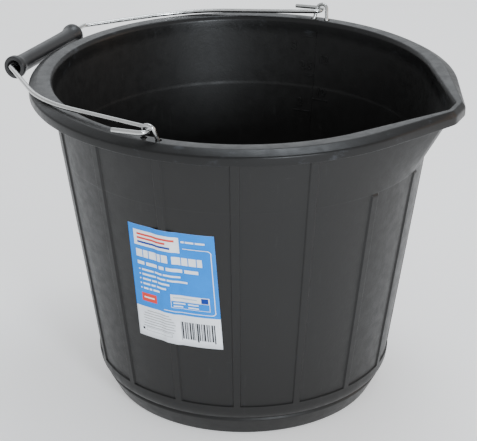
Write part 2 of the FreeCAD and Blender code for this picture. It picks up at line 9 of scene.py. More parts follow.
import bmesh
import bpy
import numpy as np
from mathutils import Matrix, Vector


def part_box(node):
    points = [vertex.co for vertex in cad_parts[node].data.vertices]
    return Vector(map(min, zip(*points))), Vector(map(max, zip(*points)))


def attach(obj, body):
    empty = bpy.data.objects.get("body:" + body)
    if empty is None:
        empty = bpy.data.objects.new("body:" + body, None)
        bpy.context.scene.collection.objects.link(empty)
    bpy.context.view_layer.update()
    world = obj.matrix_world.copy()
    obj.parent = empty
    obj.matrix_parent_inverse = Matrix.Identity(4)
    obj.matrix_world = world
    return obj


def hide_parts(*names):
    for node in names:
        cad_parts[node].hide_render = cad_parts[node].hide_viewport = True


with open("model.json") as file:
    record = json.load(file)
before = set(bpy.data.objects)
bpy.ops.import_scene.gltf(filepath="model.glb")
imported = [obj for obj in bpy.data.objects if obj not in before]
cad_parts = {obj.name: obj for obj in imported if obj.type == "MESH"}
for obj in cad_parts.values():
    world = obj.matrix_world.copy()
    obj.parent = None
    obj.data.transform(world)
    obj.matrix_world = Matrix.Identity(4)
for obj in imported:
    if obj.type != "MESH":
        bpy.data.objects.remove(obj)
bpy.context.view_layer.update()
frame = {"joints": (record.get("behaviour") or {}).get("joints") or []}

MM = 0.001
TAU = 2 * math.pi

# ---------------------------------------------------------------- sizes, in metres

_, tub_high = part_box("bucket_tub")
HEIGHT = tub_high.z
SPOUT_REACH = tub_high.x
RIM_RADIUS = tub_high.y
WALL_LOW = 116.3 * MM
WALL_SLOPE = (154.6 - 116.3) / 266.0
WALL = 2.8 * MM
SPOUT_START = 208 * MM
STEP = 0.3 * MM
BAND_TOP = 31.6 * MM
RIB_RISE = 1.2 * MM
RIB_HALF = math.radians(1.6)
RIB_SOFT = math.radians(0.5)
RIBS = 16
SCALE_RADIUS = 149 * MM  # of the inside wall near the upper marks, for widths along it
FLANGE = 3.0 * MM
SKIRT = 11.0 * MM
SKIRT_WALL = 2.5 * MM
RIM_DROP = 3.8 * MM
MOUTH_RADIUS = 153.3 * MM
CREASE_RADIUS = 163.3 * MM
LIP_WIDTH = 6.8 * MM  # the rim's breadth at the spout's tip
LIP_CREASE = 2.8 * MM
LIP_WALL = 3.4 * MM
TIP_WIDTH = 22 * MM
MOUTH_TIP_WIDTH = 18 * MM
BEVEL_WIDTH = 1.9 * MM
BEVEL_HEIGHT = 2.8 * MM
FLOOR = 8.0 * MM
FOOT_RECESS = 5.0 * MM
EAR_WIRE = 1.6 * MM  # radius, as is BAIL_WIRE
EAR_LENGTH = 19.5 * MM
EAR_TILT = math.radians(20)
EAR_LEAN = math.radians(9)
EAR_CROWN = 4.4 * MM
EAR_FOLD = 2.6 * MM
EAR_FOLD_LENGTH = 7 * MM
CLINCH_GAP = 0.2 * MM
FOLD_DEPTH = FLANGE + CLINCH_GAP + EAR_WIRE
EAR_FOOT = (MOUTH_RADIUS + CREASE_RADIUS) / 2 - FOLD_DEPTH * math.tan(EAR_TILT)
LEG_HOLE_X = 6.04 * MM
LEG_HOLE_Y = EAR_FOOT + (FOLD_DEPTH - FLANGE / 2) * math.tan(EAR_TILT)
BAIL_WIRE = 1.8 * MM
ARM_ANGLE = math.radians(13.9)
CORNER_RADIUS = 7 * MM
KNEE_RADIUS = 127 * MM
KNEE_OFFSET = 15.5 * MM
HOOK_RADIUS = 6.2 * MM
TAIL_LENGTH = 21 * MM
PIVOT_GAP = 1.6 * MM
REST_GAP = 0.75 * MM
GRIP_RADIUS = 7.1 * MM
GRIP_END = 9.5 * MM
GRIP_BORE = 4.9 * MM
GRIP_HALF = 48.3 * MM
GRIP_PLAY = 8.7 * MM
GRIP_RIM_GAP = 2.5 * MM
joint_places = {joint["name"]: joint["pos_m"] for joint in frame["joints"]}
PIVOT_Z = joint_places["bail_swing"][2]
GRIP_CENTRE = Vector(joint_places["grip_spin"])


# ---------------------------------------------------------------- small mesh helpers

def new_object(name, vertices, faces, smooth_angle=35.0):
    mesh = bpy.data.meshes.new(name)
    mesh.from_pydata([tuple(map(float, v)) for v in vertices], [], faces)
    finish_mesh(mesh, smooth_angle)
    piece = bpy.data.objects.new(name, mesh)
    bpy.context.scene.collection.objects.link(piece)
    return piece


def finish_mesh(mesh, smooth_angle):
    bm = bmesh.new()
    bm.from_mesh(mesh)
    bmesh.ops.recalc_face_normals(bm, faces=bm.faces)
    bm.to_mesh(mesh)
    bm.free()
    mesh.polygons.foreach_set("use_smooth", [True] * len(mesh.polygons))
    mesh.set_sharp_from_angle(angle=math.radians(smooth_angle))
    mesh.update()


def apply_modifiers(piece):
    graph = bpy.context.evaluated_depsgraph_get()
    mesh = bpy.data.meshes.new_from_object(piece.evaluated_get(graph))
    old = piece.data
    piece.modifiers.clear()
    piece.data = mesh
    bpy.data.meshes.remove(old)


def join(name, pieces):
    """One object from several, keeping their materials and normals."""
    bpy.ops.object.select_all(action="DESELECT")
    for piece in pieces:
        piece.select_set(True)
    bpy.context.view_layer.objects.active = pieces[0]
    bpy.ops.object.join()
    pieces[0].name = name
    pieces[0].data.name = name
    return pieces[0]


def tube(name, path, radius, sides=28, tip=0.0):
    """A round wire swept along a run of points, its ends rounded off by tip."""
    points = np.array([tuple(p) for p in path])
    steps = np.diff(points, axis=0)
    keep = np.concatenate([[True], np.linalg.norm(steps, axis=1) > 1e-7])
    points = points[keep]
    tangents = np.gradient(points, axis=0)
    tangents /= np.linalg.norm(tangents, axis=1)[:, None]
    radii = np.full(len(points), radius)
    if tip:
        first, last = points[0], points[-1]
        start = [first + tangents[0] * tip * (1 - math.cos(a)) for a in np.linspace(0.25, 1.45, 5)]
        end = [last - tangents[-1] * tip * (1 - math.cos(a)) for a in np.linspace(1.45, 0.25, 5)]
        radii = np.concatenate([
            [radius - tip + tip * math.sin(a) for a in np.linspace(0.25, 1.45, 5)],
            radii[1:-1],
            [radius - tip + tip * math.sin(a) for a in np.linspace(1.45, 0.25, 5)],
        ])
        points = np.concatenate([start, points[1:-1], end])
        tangents = np.concatenate([[tangents[0]] * 5, tangents[1:-1], [tangents[-1]] * 5])
    side = np.cross(tangents[0], (0.31, 0.17, 0.93))
    side /= np.linalg.norm(side)
    vertices, faces = [], []
    for point, tangent, size in zip(points, tangents, radii):
        side = side - tangent * side.dot(tangent)
        side /= np.linalg.norm(side)
        other = np.cross(tangent, side)
        for number in range(sides):
            turn = TAU * number / sides
            vertices.append(point + size * (math.cos(turn) * side + math.sin(turn) * other))
    for ring in range(len(points) - 1):
        for number in range(sides):
            a = ring * sides + number
            b = ring * sides + (number + 1) % sides
            faces.append((a, b, b + sides, a + sides))
    last = (len(points) - 1) * sides
    faces.append(tuple(range(sides - 1, -1, -1)))
    faces.append(tuple(range(last, last + sides)))
    return new_object(name, vertices, faces, 40)


# ---------------------------------------------------------------- the tub's shape

def wall_radius(z):
    return WALL_LOW + WALL_SLOPE * z


def outline(bearing, radius, reach, width):
    """Radius at each bearing of a circle drawn out on +X to a flat tip with barely round corners."""
    sharp = 420.0
    angle = np.abs((bearing + math.pi) % TAU - math.pi)
    turn = math.atan2(width / 2, reach) + math.acos(radius / math.hypot(reach, width / 2))
    side = np.where(angle < turn, radius / np.cos(np.minimum(turn - angle, 1.4)), radius)
    tip = np.where(angle < 1.2, reach / np.cos(np.minimum(angle, 1.2)), 10 * reach)
    near, far = np.minimum(side, tip), np.maximum(side, tip)
    return near * (1 + (near / far) ** sharp) ** (-1 / sharp)


def soft_step(x, low, high):
    t = np.clip((x - low) / (high - low), 0, 1)
    return t * t * (3 - 2 * t)


def rib_height(bearing, z):
    """How far the ribs stand out at each bearing; those under the spout stop at its crease."""
    pitch = TAU / RIBS
    number = np.round(bearing / pitch)
    offset = np.abs(bearing - number * pitch)
    rib = 1 - soft_step(offset, RIB_HALF - RIB_SOFT, RIB_HALF)
    under_spout = np.abs((number + RIBS // 2) % RIBS - RIBS // 2) <= 1
    ends = 1 - soft_step(z, SPOUT_START - 2.2 * MM, SPOUT_START + 0.2 * MM)
    return RIB_RISE * rib * np.where(under_spout, ends, 1.0)


def outer_wall(bearing, z):
    """Radius of the wall's outside, ribs and lower band included."""
    low = wall_radius(min(z, SPOUT_START))
    high = outline(bearing, wall_radius(HEIGHT), SPOUT_REACH - LIP_WALL, MOUTH_TIP_WIDTH)
    share = max(0.0, (z - SPOUT_START) / (HEIGHT - SPOUT_START))
    blend = share + 0.012 * math.exp(-(((z - SPOUT_START) / (5 * MM)) ** 2))
    if z > SPOUT_START:
        radius = low + (high - low) * blend
    else:
        radius = low + (high - wall_radius(HEIGHT)) * (blend - share)
    band = 1 - soft_step(z, BAND_TOP - 0.5 * MM, BAND_TOP + 0.25 * MM)
    return radius + np.maximum(rib_height(bearing, z), RIB_RISE * band)


def inner_wall(bearing, z):
    low = wall_radius(min(z, SPOUT_START)) - WALL
    foot = HEIGHT - BEVEL_HEIGHT
    reach = SPOUT_REACH - LIP_WIDTH - BEVEL_WIDTH
    high = outline(bearing, MOUTH_RADIUS - BEVEL_WIDTH, reach, MOUTH_TIP_WIDTH)
    share = max(0.0, (z - SPOUT_START) / (foot - SPOUT_START))
    step = STEP * soft_step(z, SPOUT_START - 1.5 * MM, SPOUT_START + 1.5 * MM) * (1 - share)
    return low + (high - low) * share + step if share > 0 else np.full_like(bearing, low + step)


def tub_bearings():
    """Bearings of the mesh's columns, closer together at each rib's edges and the spout's tip."""
    base = np.arange(720) * TAU / 720
    edges = np.radians([1.05, 1.14, 1.24, 1.34, 1.44, 1.54, 1.61, 1.7])
    ribs = [n * TAU / RIBS + s * e for n in range(RIBS) for s in (1, -1) for e in edges]
    tip = [s * math.radians(d) for s in (1, -1) for d in np.arange(2.0, 4.6, 0.18)]
    angles = np.sort(np.concatenate([base, ribs, tip]) % TAU)
    return angles[np.concatenate([[True], np.diff(angles) > math.radians(0.03)])]


def rounded(corners, steps=5):
    """Rounds each (radius, height, rounding) corner of a run; radii are arrays over the bearings."""
    rows = [corners[0][:2]]
    for number in range(1, len(corners) - 1):
        r, z, size = corners[number]
        if not size:
            rows.append((r, z))
            continue
        ends = []
        for near in (number - 1, number + 1):
            other_r, other_z, _ = corners[near]
            length = np.hypot(other_r - r, other_z - z) + 1e-9
            share = np.minimum(size / length, 0.48)
            ends.append((r + (other_r - r) * share, z + (other_z - z) * share))
        for t in np.linspace(0, 1, steps):
            a, b, c = (1 - t) ** 2, 2 * t * (1 - t), t * t
            rows.append((a * ends[0][0] + b * r + c * ends[1][0], a * ends[0][1] + b * z + c * ends[1][1]))
    rows.append(corners[-1][:2])
    return rows


def rim_rows(angles):
    """The rim's section, from the bevel inside over the top and skirt to the wall outside."""
    flat = np.ones_like(angles)
    reach, gap = SPOUT_REACH, SKIRT_WALL
    mouth = outline(angles, MOUTH_RADIUS, reach - LIP_WIDTH, MOUTH_TIP_WIDTH)
    crease = outline(angles, CREASE_RADIUS, reach - LIP_CREASE, TIP_WIDTH)
    rim = outline(angles, RIM_RADIUS, reach, TIP_WIDTH)
    hollow = outline(angles, RIM_RADIUS - gap, reach - gap, TIP_WIDTH)
    roof = outline(angles, CREASE_RADIUS - gap, reach - LIP_CREASE - gap, TIP_WIDTH)
    ripples = ((1.0, 3, 0.4), (0.6, 7, 1.9), (0.4, 17, 0.0))
    wave = 0.16 * MM * sum(share * np.sin(count * angles + turn) for share, count, turn in ripples)
    skirt_foot = HEIGHT - SKIRT + 0.22 * MM + np.abs(wave)
    bevel_foot = HEIGHT - BEVEL_HEIGHT
    under = HEIGHT - FLANGE
    return [
        (inner_wall(angles, bevel_foot), bevel_foot * flat, 1.1 * MM),
        (mouth, HEIGHT * flat, 0.9 * MM),
        (crease, HEIGHT * flat, 1.0 * MM),
        (rim, (HEIGHT - RIM_DROP) * flat, 1.3 * MM),
        (rim - 0.05 * MM, skirt_foot + 2.6 * MM, 0.0),
        (rim - 0.12 * MM, skirt_foot, 0.7 * MM),
        (hollow, skirt_foot, 0.6 * MM),
        (hollow, (under - RIM_DROP) * flat, 1.2 * MM),
        (roof, under * flat, 1.5 * MM),
        (outer_wall(angles, under), under * flat, 1.0 * MM),
    ]


def round_rows(angles, corners):
    """Rows of the same radius all round, from (radius, height, rounding) in millimetres."""
    flat = np.ones_like(angles)
    return [(r * MM * flat, z * MM * flat, size * MM) for r, z, size in corners]


def tub_rows(angles):
    """The tub's whole section, from the floor inside to the gate mark underneath."""
    flat = np.ones_like(angles)
    floor, recess = FLOOR / MM, FOOT_RECESS / MM
    # inside, from the floor up; the rows crowd round the ledge
    rows = round_rows(angles, ((30, floor, 0), (70, floor, 0), (107.3, floor, 7), (113, 18.2, 5)))
    rows.append((inner_wall(angles, BAND_TOP), BAND_TOP * flat, 3 * MM))
    heights = np.linspace(40, 200, 9).tolist()
    heights += [204, 206.2, 206.8, 207.4, 208, 208.6, 209.2, 209.8, 212, 222, 234, 248, 258]
    rows += [(inner_wall(angles, z * MM), z * MM * flat, 0.0) for z in heights]
    rows += rim_rows(angles)
    # outside, down to the band; the rows crowd round the spout's crease and the band's edge
    heights = [256, 246, 234, 224, 216, 212, 210, 209, 208.4, 208, 207.6, 207, 206.4, 205.8, 204, 200, 196]
    heights += np.linspace(188, 40, 16).tolist()
    heights += [34, 32.4, 32.0, 31.8, 31.6, 31.4, 31.2, 31.0, 30.4]
    rows += [(outer_wall(angles, z * MM), z * MM * flat, 0.0) for z in heights]
    # the band's rounded underside
    shoulder = (wall_radius(30 * MM) + RIB_RISE) / MM
    for turn in np.linspace(0.12, 1.32, 8):
        out = shoulder - (shoulder - 115.9) * (1 - math.cos(turn))
        rows += round_rows(angles, ((out, 29.6 - 10.8 * math.sin(turn), 0),))
    # waist, ledge, foot ring, recess and gate mark
    return rows + round_rows(angles, (
        (115.8, 18.2, 0.9), (117.2, 16.2, 0.9), (108.9, 0.4, 2.2), (106.2, 0, 1.2), (102, 0, 0.8),
        (102, recess, 1.6), (70, recess, 0), (30, recess, 0), (6, recess, 0), (4.6, 4.1, 0.5),
        (1.2, 4.1, 0),
    ))


def make_tub():
    angles = tub_bearings()
    rows = rounded(tub_rows(angles))
    count = len(angles)
    vertices = []
    for r, z in rows:
        vertices += list(zip(r * np.cos(angles), r * np.sin(angles), z))
    faces = []
    for row in range(len(rows) - 1):
        for number in range(count):
            a = row * count + number
            b = row * count + (number + 1) % count
            faces.append((a, b, b + count, a + count))
    for row in (0, len(rows) - 1):
        centre = len(vertices)
        vertices.append((0.0, 0.0, float(rows[row][1][0])))
        for number in range(count):
            faces.append((row * count + number, row * count + (number + 1) % count, centre))
    tub = new_object("tub_shell", vertices, faces, 38)
    cut_leg_holes(tub)
    return tub


def cut_leg_holes(tub):
    """Opens the flange for the four legs of the ears."""
    bm = bmesh.new()
    for side in (1, -1):
        for end in (1, -1):
            place = Matrix.Translation((end * LEG_HOLE_X, side * LEG_HOLE_Y, HEIGHT - 1.2 * MM))
            bmesh.ops.create_cone(
                bm,
                cap_ends=True,
                segments=40,
                radius1=2.5 * MM,
                radius2=2.7 * MM,
                depth=6 * MM,
                matrix=place,
            )
    mesh = bpy.data.meshes.new("leg_hole_cutter")
    bm.to_mesh(mesh)
    bm.free()
    cutter = bpy.data.objects.new("leg_hole_cutter", mesh)
    bpy.context.scene.collection.objects.link(cutter)
    cut = tub.modifiers.new("leg_holes", "BOOLEAN")
    cut.operation = "DIFFERENCE"
    cut.object = cutter
    cut.solver = "EXACT"
    apply_modifiers(tub)
    bpy.data.objects.remove(cutter)
    tub.data.set_sharp_from_angle(angle=math.radians(38))


# ---------------------------------------------------------------- marks inside the tub

def wall_mark(name, low_bearing, high_bearing, low_z, high_z, proud=0.8 * MM):
    """A raised strip on the inside wall, in degrees and metres, with drafted sides."""
    draft = 0.25 * MM
    nu = max(2, int((high_bearing - low_bearing) / 0.4) + 1)
    nv = max(2, int((high_z - low_z) / (4 * MM)) + 1)
    rings = []
    for inset, rise in ((0.0, -0.15 * MM), (draft, proud)):
        spread = math.degrees(inset / SCALE_RADIUS)
        us = np.radians(np.linspace(low_bearing + spread, high_bearing - spread, nu))
        vs = np.linspace(low_z + inset, high_z - inset, nv)
        grid = []
        for v in vs:
            r = inner_wall(us, v) - rise
            grid.append([(a * math.cos(t), a * math.sin(t), v) for a, t in zip(r, us)])
        rings.append(grid)
    vertices = [p for grid in rings for row in grid for p in row]
    faces = []
    top = nu * nv
    for j in range(nv - 1):
        for i in range(nu - 1):
            a = top + j * nu + i
            faces.append((a, a + 1, a + nu + 1, a + nu))
    border = [j for j in range(nu)] + [nu * j + nu - 1 for j in range(1, nv)]
    border += [nu * (nv - 1) + i for i in range(nu - 2, -1, -1)] + [nu * j for j in range(nv - 2, 0, -1)]
    for number, a in enumerate(border):
        b = border[(number + 1) % len(border)]
        faces.append((a, b, b + top, a + top))
    return new_object(name, vertices, faces, 30)


def wall_number(name, text, bearing, z, height):
    """A raised numeral on the inside wall, centred at a bearing in degrees."""
    curve = bpy.data.curves.new(name, "FONT")
    curve.body = text
    curve.size = height * 1.38
    curve.extrude = 0.8 * MM
    curve.bevel_depth = 0.08 * MM
    curve.offset = 0.12 * MM
    curve.align_x = "CENTER"
    curve.align_y = "CENTER"
    curve.resolution_u = 6
    piece = bpy.data.objects.new(name, curve)
    bpy.context.scene.collection.objects.link(piece)
    graph = bpy.context.evaluated_depsgraph_get()
    mesh = bpy.data.meshes.new_from_object(piece.evaluated_get(graph))
    bpy.data.objects.remove(piece)
    for vertex in mesh.vertices:
        x, y, depth = vertex.co
        turn = math.radians(bearing) - x / SCALE_RADIUS
        r = float(inner_wall(np.array([turn]), z + y)[0]) - depth
        vertex.co = (r * math.cos(turn), r * math.sin(turn), z + y)
    mesh.polygons.foreach_set("use_smooth", [False] * len(mesh.polygons))
    mesh.name = name
    piece = bpy.data.objects.new(name, mesh)
    bpy.context.scene.collection.objects.link(piece)
    return piece


def make_scale():
    marks = [
        wall_mark("scale_line", 89.85, 90.15, 62 * MM, 257 * MM, 0.4 * MM),
        wall_mark("scale_three", 91.2, 96.0, 251.3 * MM, 252.5 * MM),
        wall_mark("scale_half", 90.6, 93.2, 217.1 * MM, 218.3 * MM),
        wall_mark("scale_litres", 84.0, 90.0, 197.3 * MM, 198.5 * MM),
        wall_mark("scale_two", 90.6, 97.0, 185.6 * MM, 186.8 * MM),
        wall_mark("scale_low_litres", 85.0, 89.6, 116.0 * MM, 117.2 * MM),
        wall_mark("scale_one", 90.6, 96.6, 101.4 * MM, 102.6 * MM),
        wall_number("number_three", "3", 97.6, 242 * MM, 7.5 * MM),
        wall_number("number_half", "2.5", 93.0, 226 * MM, 7 * MM),
        wall_number("number_litres", "10", 86.9, 204.6 * MM, 7 * MM),
        wall_number("number_litres_high", "12", 86.8, 233 * MM, 7 * MM),
        wall_number("number_two", "2", 94.6, 193.6 * MM, 7 * MM),
        wall_number("number_low_litres", "5", 87.0, 123.6 * MM, 7 * MM),
        wall_number("number_one", "1", 94.4, 109 * MM, 7 * MM),
    ]
    return join("scale_marks", marks)


# ---------------------------------------------------------------- wires and grip

def arc_points(centre, radius, start, end, count):
    return [
        Vector((centre[0] + radius * math.cos(a), centre[1] + radius * math.sin(a), 0))
        for a in np.linspace(start, end, count)
    ]


def line_points(a, b, step=4 * MM):
    a, b = Vector(a), Vector(b)
    count = max(2, int((b - a).length / step) + 1)
    return [a.lerp(b, t) for t in np.linspace(0, 1, count)]


def ear_path():
    """Half of an ear in its own plane: x across, y up from its folded feet's centreline."""
    crown, fold, lean = EAR_CROWN, EAR_FOLD, EAR_LEAN
    crown_y = EAR_LENGTH - EAR_WIRE - crown
    top = Vector((crown * math.cos(lean), crown_y + crown * math.sin(lean), 0))
    foot_y = fold * (1 - math.sin(lean))
    foot = Vector((top.x + (top.y - foot_y) * math.tan(lean), foot_y, 0))
    centre = (foot.x + fold * math.cos(lean), fold)
    points = arc_points((0, crown_y), crown, math.pi / 2, lean, 16)
    points += line_points(top, foot, 2 * MM)[1:]
    points += arc_points(centre, fold, math.pi + lean, 1.5 * math.pi, 12)[1:]
    points += line_points((centre[0], 0, 0), (centre[0] + EAR_FOLD_LENGTH, 0, 0), 2 * MM)[1:]
    return points


def make_ear(name, side):
    """An ear of wire, tilted outwards about its folded feet."""
    half = ear_path()
    whole = [Vector((-p.x, p.y, 0)) for p in reversed(half[1:])] + half
    out, up = math.sin(EAR_TILT), math.cos(EAR_TILT)
    foot_z = HEIGHT - FOLD_DEPTH
    path = [Vector((p.x, side * (EAR_FOOT + p.y * out), foot_z + p.y * up)) for p in whole]
    return tube(name, path, EAR_WIRE, 28, 0.45 * MM)


def along(angle):
    """A unit step in the bail's own plane."""
    return Vector((math.cos(angle), math.sin(angle), 0))


def make_bail():
    """The bail's wire, laid out flat and turned to where it rests."""
    reach = RIM_RADIUS + GRIP_RADIUS + GRIP_RIM_GAP
    arm, corner, knee, hook = ARM_ANGLE, CORNER_RADIUS, KNEE_RADIUS, HOOK_RADIUS
    quarter = math.pi / 2
    pivot_up = EAR_LENGTH - 2 * EAR_WIRE - PIVOT_GAP - BAIL_WIRE
    straight_end = Vector((-reach, GRIP_HALF + GRIP_PLAY, 0))
    corner_centre = straight_end + Vector((corner, 0, 0))
    hook_centre = Vector((-hook, EAR_FOOT + pivot_up * math.sin(EAR_TILT), 0))
    arm_end = hook_centre + along(arm - quarter) * hook
    inward = arm_end.dot(along(arm))
    crossing = inward + math.sqrt(inward ** 2 + CREASE_RADIUS ** 2 - arm_end.length_squared)
    knee_corner = arm_end - along(arm) * (crossing + KNEE_OFFSET)
    gap = knee_corner - corner_centre
    slope = math.atan2(gap.y, gap.x) - math.asin(corner / gap.length)
    slope_start = corner_centre + along(slope + quarter) * corner
    tangent = knee * math.tan((slope - arm) / 2)
    slope_end = knee_corner - along(slope) * tangent
    arm_start = knee_corner + along(arm) * tangent
    knee_centre = slope_end - along(slope + quarter) * knee
    tail_start = hook_centre + Vector((0, hook, 0))
    half = line_points((-reach, 0, 0), straight_end)
    half += arc_points(corner_centre, corner, math.pi, slope + quarter, 12)[1:]
    half += line_points(slope_start, slope_end)[1:]
    half += arc_points(knee_centre, knee, slope + quarter, arm + quarter, 18)[1:]
    half += line_points(arm_start, arm_end)[1:]
    half += arc_points(hook_centre, hook, arm - quarter, quarter, 20)[1:]
    half += line_points(tail_start, tail_start - Vector((TAIL_LENGTH, 0, 0)))[1:]
    whole = [Vector((p.x, -p.y, 0)) for p in reversed(half[1:])] + half
    rise = PIVOT_Z - HEIGHT - BAIL_WIRE - REST_GAP
    turn = math.asin(rise / (crossing * math.cos(arm) - arm_end.x))
    place = Matrix.Translation((0, 0, PIVOT_Z)) @ Matrix.Rotation(-turn, 4, "Y")
    return tube("bail_rod", [place @ p for p in whole], BAIL_WIRE, 28, 0.5 * MM)


def make_grip():
    """The sleeve: a turned skin with rolled ends, a dark bore and a fine seam along each side."""
    barrel, bore, flare, end = GRIP_RADIUS / MM, GRIP_BORE / MM, GRIP_END / MM, GRIP_HALF / MM
    corners = (
        (barrel, 0, 0), (barrel, 24, 0), (7.2, 34.5, 3), (7.7, 40, 3), (9.2, 43.6, 1.6),
        (flare, 45, 0.8), (flare, end - 0.5, 0.9), (8.9, end, 0.7), (6.4, end, 0.7),
        (5.9, end - 0.8, 0.6), (4.95, end - 3.1, 0.8), (bore, 40, 0), (bore, 0, 0),
    )
    rows = rounded(round_rows(np.zeros(1), corners), 6)
    upper = [(float(r[0]), float(y[0])) for r, y in rows]
    dense = []
    for (r0, y0), (r1, y1) in zip(upper, upper[1:]):
        count = max(1, int(math.hypot(r1 - r0, y1 - y0) / (2.5 * MM)))
        dense += [(r0 + (r1 - r0) * t / count, y0 + (y1 - y0) * t / count) for t in range(count)]
    profile = dense + [(r, -y) for r, y in reversed(dense[1:])]
    sides = 96
    vertices, faces = [], []
    for r, y in profile:
        seamed = r > 6.6 * MM and abs(y) < GRIP_HALF - 5 * MM
        for number in range(sides):
            turn = TAU * number / sides
            seam = 0.16 * MM * math.exp(-((math.sin(turn) / 0.035) ** 2)) if seamed else 0.0
            size = min(r + seam, max(r, GRIP_END))
            vertices.append(GRIP_CENTRE + Vector((size * math.cos(turn), y, size * math.sin(turn))))
    count = len(profile)
    for row in range(count):
        for number in range(sides):
            a = row * sides + number
            b = row * sides + (number + 1) % sides
            c = ((row + 1) % count) * sides + (number + 1) % sides
            d = ((row + 1) % count) * sides + number
            faces.append((a, b, c, d))
    return new_object("grip_sleeve", vertices, faces, 40)


# ---------------------------------------------------------------- the label

LABEL_LOW, LABEL_HIGH = 86 * MM, 188 * MM
LABEL_LEFT, LABEL_RIGHT = -31.2 * MM, 40.4 * MM  # along the wall from the rib the label crosses
RIB_BEARING = -math.pi / 2


def label_skin(turn, z, lift):
    """A point on the label, turn radians round from the rib it crosses."""
    cover = 1 - soft_step(np.array(abs(turn)), math.radians(1.62), math.radians(4.4))
    radius = wall_radius(z) + lift + float(cover) * (RIB_RISE + 0.02 * MM)
    bearing = RIB_BEARING + turn
    return (radius * math.cos(bearing), radius * math.sin(bearing), z)


def label_turns(low, high, radii):
    """Turns round from the rib in each row of a print, with the rib's edges among them."""
    edges = [s * math.radians(d) for s in (1, -1) for d in (1.6, 1.9, 2.2, 2.6, 3.0, 3.4, 3.8, 4.3)]
    edges = [e for e in edges if all(low / r + 0.0004 < e < high / r - 0.0004 for r in radii)]
    steps = max(2, int((high - low) / (1.7 * MM)) + 1)
    plain = [x for x in np.linspace(low, high, steps)[1:-1] if abs(x) > 11 * MM]
    ends = [low, high]
    return [np.sort(np.concatenate([[x / r for x in ends + plain], edges])) for r in radii]


def label_patch(name, x0, x1, y0, y1, lift, material):
    """A printed rectangle; x and y are millimetres from the label's lower left corner."""
    heights = np.linspace(LABEL_LOW + y0 * MM, LABEL_LOW + y1 * MM, max(2, int((y1 - y0) / 6) + 1))
    radii = [wall_radius(z) for z in heights]
    rows = label_turns(LABEL_LEFT + x0 * MM, LABEL_LEFT + x1 * MM, radii)
    vertices = [label_skin(turn, z, lift) for turns, z in zip(rows, heights) for turn in turns]
    width = len(rows[0])
    faces = []
    for j in range(len(heights) - 1):
        for i in range(width - 1):
            a = j * width + i
            faces.append((a, a + 1, a + width + 1, a + width))
    piece = new_object(name, vertices, faces, 60)
    flip_outward(piece)
    piece.data.materials.append(material)
    return piece


def flip_outward(piece):
    """Turns an open patch's faces so that they look away from the tub's axis."""
    mesh = piece.data
    total = sum((Vector((f.center.x, f.center.y, 0)).dot(f.normal) for f in mesh.polygons))
    if total < 0:
        mesh.flip_normals()


